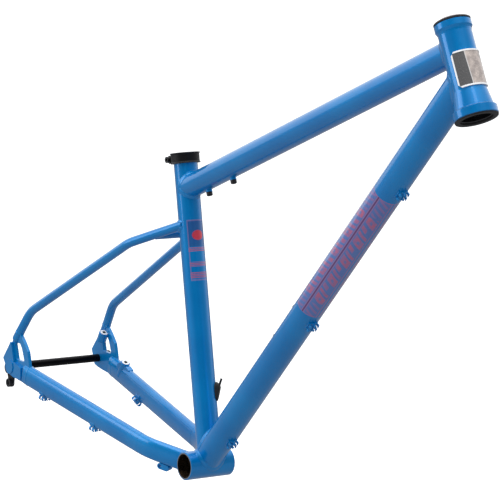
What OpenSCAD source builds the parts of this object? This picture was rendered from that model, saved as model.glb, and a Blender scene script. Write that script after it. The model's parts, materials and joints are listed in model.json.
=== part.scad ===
// Steel trail bicycle frame: round welded tubes, bent seatstays, deep oval chainstays,
// forged dropouts with a 12 mm thru-axle, integrated tapered headset and a clamped seat collar.
// The origin is the centre of the bottom bracket shell. +X points forward, +Y to the left
// (non-drive) side and +Z up. "right" is the drive side.

/* [Frame geometry] */
// Horizontal distance from the shell's centre to the top of the head tube
reach = 509.5; // [495:0.5:520]
// Height of the top of the head tube above the shell's centre
stack = 666; // [655:1:680]
// Angle of the steering axis above the horizontal
head_angle = 63; // [62.5:0.1:64]
// Angle of the seat tube above the horizontal
seat_angle = 78; // [77.5:0.1:78.5]
// Distance from the shell's centre to the rear axle
chainstay_length = 428.8; // [427:0.1:431]
// Height of the rear axle above the shell's centre
axle_rise = 65.2; // [64:0.1:66.5]
// Clear width between the dropouts, which the hub fills
hub_width = 148; // [147.5:0.5:148.5]

/* [Head tube and headset] */
// Length of the head tube
head_len = 123; // [121:1:126]
// Outside diameter of the slim middle of the head tube
head_od = 42.4; // [42:0.1:43]
// Outside diameter of the upper ring
head_upper_od = 46.9; // [46.5:0.1:48]
// Outside diameter of the lower ring
head_lower_od = 56; // [55.8:0.1:58]
// Outside diameter of the upper bearing
upper_bearing_od = 41.8; // [41.7:0.1:41.9]
// Bore of the upper bearing
upper_bearing_id = 30.2; // [30.1:0.1:30.4]
// Outside diameter of the lower bearing
lower_bearing_od = 52; // [51.9:0.1:52.1]
// Bore of the lower bearing
lower_bearing_id = 40; // [39.9:0.1:40.2]
// Steering tube diameter at the top
steerer_d = 28.6; // [28.5:0.1:28.7]

/* [Main tubes] */
// Outside diameter of the seat tube
seat_tube_od = 34; // [33.8:0.1:34.4]
// Seatpost bore
seatpost_bore = 31; // [30.9:0.1:31.2]
// Length of the seat tube, from the shell's height to its top
seat_len = 441; // [436:1:446]
// Outside diameter of the top tube
top_tube_od = 33.6; // [33:0.1:33.7]
// Distance up the seat tube to the top tube's axis
top_tube_height = 392.3; // [388:0.1:396]
// Outside diameter of the down tube
down_tube_od = 39.4; // [38.5:0.1:39.6]
// Spacing of each pair of threaded bosses
boss_spacing = 64; // [64:1:64]

/* [Bottom bracket shell] */
// Width of the shell
shell_width = 73; // [72.5:0.5:73.5]
// Outside diameter of the shell
shell_od = 40.2; // [40:0.1:41]
// Minor diameter of the shell's threads
shell_bore = 33.7; // [33.6:0.1:33.9]

/* [Rear triangle] */
// Outside diameter of a seatstay
seatstay_od = 13.5; // [13:0.1:14]
// Height of a chainstay's oval section
chainstay_h = 31; // [30:0.5:32]
// Width of a chainstay's oval section
chainstay_w = 17; // [16:0.5:17.5]
// Diameter of the bridge between the seatstays
bridge_od = 12; // [11:0.5:12.5]

/* [Thru-axle and dropouts] */
// Diameter of the thru-axle
axle_d = 12; // [12:1:12]
// Thickness of a dropout plate
dropout_t = 9; // [8.5:0.5:9.5]
// Distance between the two brake posts
post_spacing = 74.2; // [74.2:0.1:74.2]
// Minor diameter of the brake posts' threads
post_thread_d = 5.2; // [5:0.1:5.4]

/* [Hidden] */
$fn = 64;

paint = "#2b7ac0";
black = "#1c1d20";
steel = "#b9bcc0";
grey = "#8d9096";
silver = "#dfe2e5";

// Air between two welded tubes, too small to see
weld_gap = 0.02;
// Step and overlap where the straight and bent lengths of one tube are joined
hair = 0.02;
chain_hair = 0.12;
lap = 0.6;
// Radial running clearance of a shaft in its hole
run_gap = 0.06;
// Small chamfer on machined edges
chamfer = 0.8;

// Head tube, measured up its axis from its lower end
head_bottom = [reach + head_len * cos(head_angle), 0, stack - head_len * sin(head_angle)];
head_r = head_od / 2;
head_upper_r = head_upper_od / 2;
head_lower_r = head_lower_od / 2;
head_inner_r = head_r - 2;
upper_ring_h = 9;
lower_ring_h = 11;
flare_top = 35;
flare_r = 24.9;
bearing_h = 7;
bearing_play = 0.05;
ball_gap = 0.04;
ball_r = 1.59;
upper_ball_count = 24;
lower_ball_count = 30;
upper_race_r = (upper_bearing_od + upper_bearing_id) / 4;
lower_race_r = (lower_bearing_od + lower_bearing_id) / 4;
upper_bearing_z = head_len - bearing_h - 0.8;
// Head badge, measured up the head tube's axis
badge_low = 35.5;
badge_high = 81.5;
badge_half_angle = 71;
badge_t = 1.4;
badge_rim = 0.6;

// Seat tube axis, which meets the shell's height a little ahead of its centre
seat_offset = 11.3;
seat_r = seat_tube_od / 2;
seat_bore_len = 230;
seat_wall_low = 0.8;
seat_foot_z = 14;
slit_w = 3;
slit_len = 24;
// Cable port: an upright slot with round ends, in the front left of the seat tube
port_at = 103;
port_turn = 50;
port_w = 12;
port_h = 24;

// Down tube axis, from just above the shell's centre to a point up the head tube
down_start = [0, 0, 3.8];
down_meets_head = 52.5;
down_end = head_point(down_meets_head);
down_r = down_tube_od / 2;
down_angle = atan2(down_end.z - down_start.z, down_end.x - down_start.x);
down_len = norm(down_end - down_start);
down_cut = 10;
down_boss_from = 263;

// Top tube axis
top_start = seat_point(top_tube_height);
top_below_head_top = 33.5;
top_end = head_point(head_len - top_below_head_top);
top_r = top_tube_od / 2;
top_angle = atan2(top_end.z - top_start.z, top_end.x - top_start.x);
top_len = norm(top_end - top_start);
top_boss_from = 52;
tube_wall = 0.9;

// Bottom bracket shell
shell_r = shell_od / 2;

// Rear axle and the plane of each dropout
axle = [-sqrt(chainstay_length ^ 2 - axle_rise ^ 2), 0, axle_rise];
axle_r = axle_d / 2;
hub_half = hub_width / 2;
dropout_out = hub_half + dropout_t;
web_t = 5;
// Lengths of the block and the stub to which the chainstay and the seatstay are welded
tang_len = 8;
stub_len = 12;

// Seatstay centre line on the left side: lower end, two bends, end beside the seat tube
stay_path = [
    axle + [18.5, 76.5, 55.7],
    [-381, 72.2, 157.2],
    [-142.4, 50.4, 297.1],
    [-60, 12.2, 333.5]
];
stay_bend_r = 55;
stay_r = seatstay_od / 2;
stay_wall = 1;
stay_cap = 6;
// End of the bridge, halfway along the seatstay's upper run and a little below its centre line
bridge_point = (stay_path[2] + stay_path[3]) / 2 - [0, 0, 2];

// Chainstay plane: it passes under the shell's centre and rises to the rear
chain_drop = -4.7;
chain_pitch = atan(0.17);
// Chainstay centre line in that plane: rear end, bend and front end (forward, outward)
chain_rear = [-380, 75];
chain_bend = [-86, 45];
chain_front = [-6, 9.4];
chain_bend_r = 100;
chain_wall = 1.2;
// Its section: two end circles joined by two long side arcs, which meet them almost without a crease
chain_end_r = 0.435 * chainstay_w;
chain_end_at = chainstay_h / 2 - chain_end_r;
chain_tangent_r = (chain_end_at ^ 2 + (chainstay_w / 2) ^ 2 - chain_end_r ^ 2)
    / (chainstay_w - 2 * chain_end_r);
chain_side_r = 0.98 * chain_tangent_r;
chain_side_h = 1.3 * chain_end_at;

// Brake posts: both threads point up and forward, square to the line between them
post_angle = 27.5;
post_upper = [axle.x + 22.8, hub_half - 4.4, axle.z + 44.8];
post_lower = post_upper + post_spacing * [cos(post_angle), 0, -sin(post_angle)];
post_r = 6;
post_depth = 12;
post_upper_depth = 14;
post_lower_depth = 17;
post_pedestal = 1.4;
post_bare = 1.5;
gusset_sleeve_depth = 26;
gusset_w = 9;

// Derailleur hanger, in a slot of the right dropout. Points are measured from the axle (forward, up).
hanger_eye_r = 10.5;
hanger_ear = [-10.8, -4.5];
hanger_ear_r = 8.5;
hanger_hole = [0.5, -25];
hanger_end_r = 6.8;
hanger_thread_r = 4.5;
hanger_t = 3.5;
hanger_end_t = 8;
slot_from = hub_half + 3.5;
cheek_r = 11;
cheek_out = dropout_out + 1.4;
hanger_bolt_r = 2;
hanger_bolt_head_r = 3.6;

// Thru-axle, from its blind end in the right dropout to the washer on the left
axle_head_r = 10.5;
axle_head_h = 7;
washer_h = 3;
axle_hole_end = dropout_out - 0.2;
axle_tip = axle_hole_end - 0.3;

// Seat collar
collar_h = 15;
collar_r = 20.3;
collar_lip = 0.9;
collar_below = 13.5;
collar_bore_r = seat_r + run_gap;
lug_x = -26.5;
collar_bolt_r = 2.5;
collar_head_r = 4.4;
collar_head_h = 6;
lug_half = 9;
barrel_r = 4.2;
barrel_at = lug_half - 4.5;
collar_mid = seat_len - collar_below + collar_h / 2;

// Hose guides: two open channels side by side; the down tube's guides by distance along it
guide_len = 11;
guide_groove = 3.4;
channel_at = 3.7;
channel_r = 2.5;
channel_wall = 1.3;
channel_mouth = 3.2;
guide_places = [66, 334, 605];
// Eyelet plate under the right chainstay
eyelet_at = 33;
eyelet_len = 20;
eyelet_w = 9;
eyelet_drop = 3.5;
eyelet_hole_r = 2.6;

// Bosses, their bolts and the cable
boss_r = 4.6;
boss_h = 3.2;
bottle_boss_h = 1.2;
bolt_head_r = 4.4;
bolt_socket = 3;
boss_shank_r = 3.5;
m5_minor_r = 2.1;
cable_r = 1.6;
cable_lean = 22;

function head_point(s) = head_bottom + s * [-cos(head_angle), 0, sin(head_angle)];
function seat_point(s) = [seat_offset - s * cos(seat_angle), 0, s * sin(seat_angle)];
function unit(v) = v / norm(v);
function towards(v) = [0, acos(v.z / norm(v)), atan2(v.y, v.x)];

// Local frames: +Z runs up or forward along each tube's axis
module on_head_axis() {
    translate(head_bottom) rotate([0, head_angle - 90, 0]) children();
}

module on_seat_axis() {
    translate([seat_offset, 0, 0]) rotate([0, seat_angle - 90, 0]) children();
}

module on_down_axis() {
    translate(down_start) rotate([0, 90 - down_angle, 0]) children();
}

module on_top_axis() {
    translate(top_start) rotate([0, 90 - top_angle, 0]) children();
}

// Chainstay plane: local X forward, local Y to the left, local Z square to the plane
module on_chain_plane() {
    translate([0, 0, chain_drop]) rotate([0, chain_pitch, 0]) children();
}

module ring(r_out, r_in, h) {
    difference() {
        cylinder(r = r_out, h = h);
        translate([0, 0, -1]) cylinder(r = r_in, h = h + 2);
    }
}

// Outside shape of the head tube as a plain solid, for trimming the tubes that meet it
module head_blank(grow) {
    rotate_extrude() polygon([
        [0, 0],
        [head_lower_r + grow, 0],
        [head_lower_r + grow, lower_ring_h - chamfer],
        [flare_r + 1.5 + grow, lower_ring_h],
        [flare_r + grow, lower_ring_h + 1],
        [head_r + grow, flare_top],
        [head_r + grow, head_len],
        [0, head_len]
    ]);
}

module head_tube() {
    seat_top = head_len - bearing_h - 1;
    seat_low = bearing_h + 1;
    upper_seat_r = upper_bearing_od / 2 + bearing_play;
    lower_seat_r = lower_bearing_od / 2 + bearing_play;
    upper_step = 1.8;
    lower_step = 3.6;
    color(paint) on_head_axis() rotate_extrude() polygon([
        [lower_seat_r + 0.5, 0],
        [head_lower_r - chamfer, 0],
        [head_lower_r, chamfer],
        [head_lower_r, lower_ring_h - chamfer],
        [flare_r + 1.5, lower_ring_h],
        [flare_r, lower_ring_h + 1],
        [head_r, flare_top],
        [head_r, head_len - upper_ring_h - 5],
        [head_r + 0.4, head_len - upper_ring_h - 2.6],
        [head_r + 1.3, head_len - upper_ring_h - 0.6],
        [head_upper_r, head_len - upper_ring_h + 1],
        [head_upper_r, head_len - chamfer],
        [head_upper_r - chamfer, head_len],
        [upper_seat_r + 0.5, head_len],
        [upper_seat_r, head_len - 0.5],
        [upper_seat_r, seat_top],
        [upper_seat_r - upper_step, seat_top - upper_step],
        [head_inner_r, seat_top - upper_step - 1],
        [head_inner_r, flare_top + 1],
        [lower_seat_r - lower_step, seat_low + lower_step],
        [lower_seat_r, seat_low],
        [lower_seat_r, 0.5]
    ]);
}

module top_tube() {
    color(paint) difference() {
        on_top_axis() ring(top_r, top_r - tube_wall, top_len);
        on_seat_axis() cylinder(r = seat_r + weld_gap, h = seat_len);
        on_head_axis() head_blank(weld_gap);
        for (i = [0, 1])
            on_top_axis() translate([top_r - 5, 0, top_boss_from + i * boss_spacing])
                rotate([0, 90, 0]) cylinder(r = boss_shank_r + weld_gap, h = 10);
    }
}

// Down tube as a plain solid, for trimming the seat tube where the two meet at the shell
module down_blank(grow) {
    on_down_axis() translate([0, 0, down_cut - grow]) cylinder(r = down_r + grow, h = 120);
}

module down_tube() {
    color(paint) difference() {
        on_down_axis() translate([0, 0, down_cut]) ring(down_r, down_r - tube_wall, down_len);
        shell_blank(weld_gap);
        on_head_axis() head_blank(weld_gap);
        on_head_axis() translate([0, -60, -60]) cube([120, 120, head_len + 120]);
        for (i = [0, 1])
            on_down_axis() translate([5 - down_r, 0, down_boss_from + i * boss_spacing])
                rotate([0, -90, 0]) cylinder(r = boss_shank_r + weld_gap, h = 10);
    }
}

module shell_blank(grow) {
    rotate([90, 0, 0]) cylinder(r = shell_r + grow, h = shell_width + 10, center = true);
}

module bottom_bracket_shell() {
    half = shell_width / 2;
    bore_r = shell_bore / 2;
    color(paint) rotate([90, 0, 0]) rotate_extrude() polygon([
        [bore_r, -half],
        [shell_r - chamfer, -half],
        [shell_r, chamfer - half],
        [shell_r, half - chamfer],
        [shell_r - chamfer, half],
        [bore_r, half]
    ]);
}

// Space of the cable port, cut or filled between two distances from the seat tube's axis
module port_slot(grow, depth_from, depth_to) {
    on_seat_axis() rotate([0, 0, port_turn]) translate([depth_from, 0, port_at])
        rotate([0, 90, 0]) linear_extrude(depth_to - depth_from) slot_2d(port_h, port_w, grow);
}

// Slot outline: length along X, round ends
module slot_2d(length, width, grow) {
    r = width / 2;
    mid = length / 2 - r;
    for (s = [-1, 1])
        translate([s * mid, 0]) circle(r = r + grow);
    square([2 * mid, width + 2 * grow], center = true);
}

module seat_tube() {
    low_r = seat_r - seat_wall_low;
    top_half = seat_len - seat_bore_len;
    color(paint) difference() {
        on_seat_axis() cylinder(r = seat_r, h = seat_len);
        on_seat_axis() translate([0, 0, top_half]) cylinder(r = seatpost_bore / 2, h = seat_bore_len + 1);
        on_seat_axis() translate([0, 0, -1]) cylinder(r = low_r, h = top_half + 1.01);
        shell_blank(weld_gap);
        down_blank(weld_gap);
        translate([-60, -60, seat_foot_z - 100]) cube([120, 120, 100]);
        on_seat_axis() translate([-40, -slit_w / 2, seat_len - slit_len]) cube([40, slit_w, slit_len + 1]);
        on_seat_axis() translate([-40, 0, seat_len - slit_len]) rotate([0, 90, 0])
            cylinder(r = slit_w / 2 + 0.7, h = 40);
        port_slot(0, 5, 40);
    }
}

// One bend of a round tube. It starts along u, ends along v and turns about a centre at radius r_bend.
// Its wall is thinner than the straight runs' by a hair, so that the runs can overlap its ends.
module bend(corner, u, v, r_bend, r_out, r_in) {
    turn = acos(u * v);
    n = unit(v - (u * v) * u);
    w = cross(-n, u);
    centre = corner - r_bend * tan(turn / 2) * u + r_bend * n;
    multmatrix([
        [-n.x, u.x, w.x, centre.x],
        [-n.y, u.y, w.y, centre.y],
        [-n.z, u.z, w.z, centre.z],
        [0, 0, 0, 1]
    ])
        rotate_extrude(angle = turn) translate([r_bend, 0]) difference() {
            circle(r = r_out - hair);
            circle(r = r_in + hair);
        }
}

// Straight run of a round tube between two points, shortened at each end
module run(from, to, cut_from, cut_to, r_out, r_in) {
    v = to - from;
    translate(from + (cut_from - lap) * unit(v)) rotate(towards(v))
        ring(r_out, r_in, norm(v) - cut_from - cut_to + 2 * lap);
}

// Seatstay of the left side
module seatstay() {
    p = stay_path;
    u = [for (i = [0:2]) unit(p[i + 1] - p[i])];
    cut = [for (i = [0:1]) stay_bend_r * tan(acos(u[i] * u[i + 1]) / 2)];
    r_in = stay_r - stay_wall;
    difference() {
        union() {
            run(p[0], p[1], lap, cut[0], stay_r, r_in);
            bend(p[1], u[0], u[1], stay_bend_r, stay_r, r_in);
            run(p[1], p[2], cut[0], cut[1], stay_r, r_in);
            bend(p[2], u[1], u[2], stay_bend_r, stay_r, r_in);
            run(p[2], p[3], cut[1], stay_cap, stay_r, r_in);
            translate(p[3] - stay_cap * u[2]) rotate(towards(u[2]))
                cylinder(r = stay_r - hair, h = stay_cap);
        }
        on_seat_axis() cylinder(r = seat_r + weld_gap, h = seat_len);
    }
}

module seatstay_left() {
    color(paint) seatstay();
}

module seatstay_right() {
    color(paint) mirror([0, 1, 0]) seatstay();
}

module seatstay_bridge() {
    color(paint) difference() {
        translate([bridge_point.x, 0, bridge_point.z]) rotate([90, 0, 0])
            cylinder(r = bridge_od / 2, h = 2 * bridge_point.y, center = true);
        for (s = [0, 1])
            mirror([0, s, 0]) translate(stay_path[2]) rotate(towards(stay_path[3] - stay_path[2]))
                cylinder(r = stay_r + weld_gap, h = norm(stay_path[3] - stay_path[2]));
    }
}

// Oval section of a chainstay, upright
module chain_section(grow) {
    for (s = [-1, 1])
        translate([0, s * chain_end_at]) circle(r = chain_end_r + grow);
    intersection() {
        translate([chain_side_r - chainstay_w / 2, 0]) circle(r = chain_side_r + grow);
        translate([chainstay_w / 2 - chain_side_r, 0]) circle(r = chain_side_r + grow);
        square([2 * chainstay_w, 2 * chain_side_h], center = true);
    }
}

module chain_wall_section(step) {
    difference() {
        chain_section(-step);
        chain_section(step - chain_wall);
    }
}

// Chainstay of the left side, in the chainstay plane
module chainstay() {
    u = unit(chain_bend - chain_rear);
    v = unit(chain_front - chain_bend);
    turn_u = atan2(u.y, u.x);
    turn_v = atan2(v.y, v.x);
    turn = turn_u - turn_v;
    cut = chain_bend_r * tan(turn / 2);
    arc_start = chain_bend - cut * u;
    arc_centre = arc_start + chain_bend_r * [u.y, -u.x];
    difference() {
        on_chain_plane() {
            translate(chain_rear) rotate([0, 0, turn_u]) rotate([90, 0, 90])
                linear_extrude(norm(arc_start - chain_rear) + lap) chain_wall_section(0);
            translate(arc_centre) rotate([0, 0, turn_v + 90]) rotate_extrude(angle = turn)
                translate([chain_bend_r, 0]) chain_wall_section(chain_hair);
            translate(chain_bend + (cut - lap) * v) rotate([0, 0, turn_v]) rotate([90, 0, 90])
                linear_extrude(norm(chain_front - chain_bend) - cut + lap) chain_wall_section(0);
        }
        shell_blank(weld_gap);
    }
}

// The lower brake post is set into the left chainstay
module chainstay_left() {
    color(paint) difference() {
        chainstay();
        post_blank(post_lower, post_lower_depth, weld_gap);
    }
}

module chainstay_right() {
    color(paint) mirror([0, 1, 0]) chainstay();
}

// Outline of a dropout's web, measured from the axle (forward, up)
module dropout_outline() {
    polygon([
        [-18.5, 13], [-20.5, 10], [-16.5, 2], [-15.5, -5], [-10, -12], [0, -14.5], [14, -16.5], [41, -19],
        [53, -4], [54, 6], [51, 18.5], [47, 31], [37, 42], [30, 48.5], [24.5, 53], [13.5, 60], [9, 54],
        [-2, 34]
    ]);
}

// Opening in the web
module dropout_window() {
    polygon([
        [7.5, 36.5], [11, 27], [15.5, 13.5], [36.5, 13.5], [37.5, 16.5], [30, 33], [24, 39.5], [13, 39.5]
    ]);
}

// The thick part of a dropout: round the axle and up its rear edge
module dropout_thick() {
    polygon([
        [-18.5, 13], [-20.5, 10], [-16.5, 5], [-12, -1], [-9, -8], [0, -12], [14, -14.5], [34, -15], [33, 4],
        [12, 9], [7.5, 23], [3.5, 36], [9, 50], [8, 53], [-2, 34]
    ]);
}

module rounded(r) {
    offset(r = r, $fn = 32) offset(delta = -r) children();
}

module dropout_plate() {
    translate([axle.x, hub_half, axle.z]) rotate([90, 0, 0]) mirror([0, 0, 1]) {
        linear_extrude(web_t) difference() {
            rounded(2) dropout_outline();
            rounded(2) dropout_window();
        }
        linear_extrude(dropout_t) rounded(2) dropout_thick();
    }
}

// Oval block with a rounded rear end, to which the chainstay is welded
module dropout_tang() {
    u = unit(chain_bend - chain_rear);
    on_chain_plane() translate(chain_rear) rotate([0, 0, atan2(u.y, u.x)]) {
        rotate([90, 0, 90]) translate([0, 0, -tang_len])
            linear_extrude(tang_len - weld_gap) chain_section(0);
        translate([-tang_len, 0, 0]) {
            cylinder(r = chain_end_r - chain_hair, h = 2 * chain_end_at, center = true);
            for (s = [-1, 1])
                translate([0, 0, s * chain_end_at]) sphere(r = chain_end_r - chain_hair);
        }
    }
}

// Dropout of the left side as a solid: plate, block for the chainstay and stub for the seatstay
module dropout_blank() {
    v = stay_path[1] - stay_path[0];
    difference() {
        dropout_plate();
        chain_clear();
        stay_clear();
    }
    dropout_tang();
    translate(stay_path[0] - stub_len * unit(v)) rotate(towards(v)) {
        cylinder(r = stay_r, h = stub_len - weld_gap);
        sphere(r = stay_r - hair);
    }
}

// The left dropout carries the upper brake post on a pedestal
module dropout_left() {
    color(paint) difference() {
        union() {
            dropout_blank();
            post_sleeve(post_upper, post_upper_depth + post_bare);
        }
        translate([axle.x, 0, axle.z]) rotate([-90, 0, 0]) cylinder(r = axle_r + run_gap, h = 120);
        post_blank(post_upper, post_upper_depth, weld_gap);
    }
}

// The right dropout has a slot for the hanger behind a round cheek, and a blind hole for the axle
module dropout_right() {
    color(paint) difference() {
        union() {
            mirror([0, 1, 0]) dropout_blank();
            translate([axle.x, -slot_from, axle.z]) rotate([90, 0, 0])
                cylinder(r = cheek_r, h = cheek_out - slot_from);
        }
        translate([axle.x, -slot_from, axle.z]) rotate([90, 0, 0])
            linear_extrude(hanger_t + weld_gap) hanger_outline(weld_gap);
        translate([axle.x, 0, axle.z]) rotate([90, 0, 0]) cylinder(r = axle_r + run_gap, h = axle_hole_end);
        on_hanger_bolt() hanger_bolt_blank(weld_gap);
    }
}

// Eye, ear and end circles, and the neck between them
module hanger_outline(grow) {
    circle(r = hanger_eye_r + grow);
    translate(hanger_ear) circle(r = hanger_ear_r + grow);
    translate(hanger_hole) circle(r = hanger_end_r + grow);
    polygon([
        [0, 0], hanger_ear, [-10 - grow, -12.6], [-6 - grow, -24], [7 + grow, -24.5], [9.5 + grow, -4]
    ]);
}

module derailleur_hanger() {
    color(black) difference() {
        translate([axle.x, -slot_from - weld_gap, axle.z]) rotate([90, 0, 0]) {
            linear_extrude(hanger_t - weld_gap) hanger_outline(0);
            translate(hanger_hole) cylinder(r = hanger_end_r - 0.3, h = hanger_end_t);
        }
        translate([axle.x, 0, axle.z]) rotate([90, 0, 0]) {
            cylinder(r = axle_r + run_gap, h = 120);
            translate(hanger_hole) cylinder(r = hanger_thread_r, h = 120);
        }
        on_hanger_bolt() cylinder(r = hanger_bolt_r + weld_gap, h = 20);
    }
}

// Where the hanger bolt goes in, on the inner face of the right dropout; +Z points outward
module on_hanger_bolt() {
    translate([axle.x + hanger_ear.x, -hub_half, axle.z + hanger_ear.y]) rotate([90, 0, 0]) children();
}

module hanger_bolt_blank(grow) {
    translate([0, 0, -grow]) rotate_extrude() polygon([
        [0, 0], [hanger_bolt_head_r + grow, 0], [hanger_bolt_head_r + grow, 0.4],
        [hanger_bolt_r + grow, 2], [hanger_bolt_r + grow, 6.5 + grow], [0, 6.5 + grow]
    ]);
}

// Countersunk bolt that holds the hanger's ear
module hanger_bolt() {
    color(black) on_hanger_bolt() difference() {
        hanger_bolt_blank(0);
        translate([0, 0, -1]) cylinder(r = 1.4, h = 2.6, $fn = 6);
    }
}

// Brake post: a round boss whose thread points up and forward
module post_blank(at, depth, grow) {
    translate(at) rotate([0, post_angle, 0]) translate([0, 0, -depth])
        cylinder(r = post_r + grow, h = depth);
}

// Painted pedestal round a post, a little below the post's face
module post_sleeve(at, depth) {
    translate(at) rotate([0, post_angle, 0]) translate([0, 0, -depth])
        cylinder(r = post_r + post_pedestal, h = depth - post_bare);
}

module brake_post(at, depth) {
    difference() {
        post_blank(at, depth, 0);
        translate(at) rotate([0, post_angle, 0]) translate([0, 0, -post_depth])
            cylinder(r = post_thread_d / 2, h = post_depth + 1);
    }
}

module brake_post_upper() {
    color(silver) brake_post(post_upper, post_upper_depth);
}

module brake_post_lower() {
    color(silver) brake_post(post_lower, post_lower_depth);
}

// Gusset that carries the lower brake post on the chainstay, with a round toe in front
module brake_post_gusset() {
    color(paint) difference() {
        union() {
            translate(post_lower) rotate([90, 0, 0]) linear_extrude(gusset_w, center = true) {
                polygon([[-7, -1], [5.6, -6.4], [14, -9], [18, -30], [-22, -22], [-17, -5]]);
                translate([11, -9]) circle(r = 5);
            }
            post_sleeve(post_lower, gusset_sleeve_depth);
        }
        post_blank(post_lower, post_lower_depth, weld_gap);
        translate(post_lower) rotate([0, post_angle, 0]) translate([0, 0, -post_bare])
            cylinder(r = 30, h = 40);
        chain_clear();
    }
}

// Space taken by the left chainstay, for the parts that sit on it
module chain_clear() {
    u = unit(chain_bend - chain_rear);
    on_chain_plane() translate(chain_rear) rotate([0, 0, atan2(u.y, u.x)]) rotate([90, 0, 90])
        translate([0, 0, -2 * weld_gap])
            linear_extrude(norm(chain_bend - chain_rear)) chain_section(weld_gap);
}

// Space taken by the lower end of the left seatstay
module stay_clear() {
    v = stay_path[1] - stay_path[0];
    translate(stay_path[0] - 2 * weld_gap * unit(v)) rotate(towards(v))
        cylinder(r = stay_r + weld_gap, h = 40);
}

// Thru-axle: shaft, drive socket in a round head on the left, thread end on the right
module thru_axle() {
    color(black) translate([axle.x, 0, axle.z]) rotate([-90, 0, 0]) difference() {
        union() {
            translate([0, 0, -axle_tip]) cylinder(r = axle_r, h = axle_tip + dropout_out + washer_h + 1);
            translate([0, 0, dropout_out + washer_h + run_gap]) cylinder(r = axle_head_r, h = axle_head_h);
        }
        translate([0, 0, dropout_out + washer_h + 2]) cylinder(r = 3.46, h = 12, $fn = 6);
    }
}

module thru_axle_washer() {
    color(black) translate([axle.x, dropout_out + weld_gap, axle.z]) rotate([-90, 0, 0])
        rotate_extrude() polygon([
            [axle_r + run_gap, 0], [9.5, 0], [11.5, washer_h - 0.5], [11.5, washer_h - 0.02],
            [axle_r + run_gap, washer_h - 0.02]
        ]);
}

// Headset bearings. A bearing is drawn from z = 0 up, with a ball race halfway up.
module outer_ring(od, race_r, ball_r) {
    r = od / 2;
    rotate_extrude() difference() {
        polygon([
            [race_r + 0.62 * ball_r, 0.2], [r - 1.2, 0.2], [r, 1.4], [r, bearing_h - 1.2],
            [r - 1, bearing_h - 0.2], [race_r + 0.62 * ball_r, bearing_h - 0.2]
        ]);
        translate([race_r, bearing_h / 2]) circle(r = ball_r + ball_gap);
    }
}

module inner_ring(id, race_r, ball_r) {
    r = id / 2;
    rotate_extrude() difference() {
        polygon([
            [r, 0.8], [r + 0.6, 0.2], [race_r - 0.62 * ball_r, 0.2],
            [race_r - 0.62 * ball_r, bearing_h - 0.2], [r + 0.9, bearing_h - 0.2], [r, bearing_h - 1.1]
        ]);
        translate([race_r, bearing_h / 2]) circle(r = ball_r + ball_gap);
    }
}

module balls(race_r, ball_r, count) {
    for (i = [0:count - 1])
        rotate([0, 0, i * 360 / count]) translate([race_r, 0, bearing_h / 2]) sphere(r = ball_r);
}

module on_upper_bearing() {
    on_head_axis() translate([0, 0, upper_bearing_z]) children();
}

// The lower bearing is the same way up when seen from below
module on_lower_bearing() {
    on_head_axis() translate([0, 0, bearing_h + 0.8]) rotate([180, 0, 0]) children();
}

module upper_bearing_outer_ring() {
    color(steel) on_upper_bearing() outer_ring(upper_bearing_od, upper_race_r, ball_r);
}

module upper_bearing_inner_ring() {
    color(steel) on_upper_bearing() inner_ring(upper_bearing_id, upper_race_r, ball_r);
}

module upper_bearing_balls() {
    color(steel) on_upper_bearing() balls(upper_race_r, ball_r, upper_ball_count);
}

module lower_bearing_outer_ring() {
    color(steel) on_lower_bearing() outer_ring(lower_bearing_od, lower_race_r, ball_r);
}

module lower_bearing_inner_ring() {
    color(steel) on_lower_bearing() inner_ring(lower_bearing_id, lower_race_r, ball_r);
}

module lower_bearing_balls() {
    color(steel) on_lower_bearing() balls(lower_race_r, ball_r, lower_ball_count);
}

// Tapered ring that centres the steering tube in the upper bearing
module compression_ring() {
    r = upper_bearing_id / 2;
    z = upper_bearing_z + bearing_h - 0.2;
    color(grey) on_head_axis() rotate_extrude() polygon([
        [steerer_d / 2 + 0.05, z - 4], [r - 0.03, z - 4], [r - 0.03, z - 0.9], [r + 0.8, z],
        [r + 0.8, z + 6.4], [r, z + 7.4], [steerer_d / 2 + 0.05, z + 7.4]
    ]);
}

// Low domed cover that hides the upper bearing
module upper_headset_cover() {
    r_in = upper_bearing_id / 2 + 0.85;
    z = head_len + 0.3;
    color(black) on_head_axis() rotate_extrude() polygon([
        [r_in, z], [head_upper_r - 0.4, z], [head_upper_r, z + 0.4], [head_upper_r, z + 2],
        [head_upper_r - 1.4, z + 3], [r_in + 3, z + 4], [r_in, z + 4]
    ]);
}

// Rubber lip seal below the lower bearing, pressed on its inner ring
module lower_bearing_seal() {
    r_in = lower_bearing_id / 2 + 0.6;
    color(black) on_head_axis() rotate_extrude() polygon([
        [r_in, 0.98], [r_in + 1, 0.98], [r_in + 1.2, -0.3], [head_lower_r - 0.7, -0.3],
        [head_lower_r - 0.4, -0.8], [head_lower_r - 0.9, -1.9], [r_in + 0.6, -1.9], [r_in, -1.2]
    ]);
}

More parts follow.
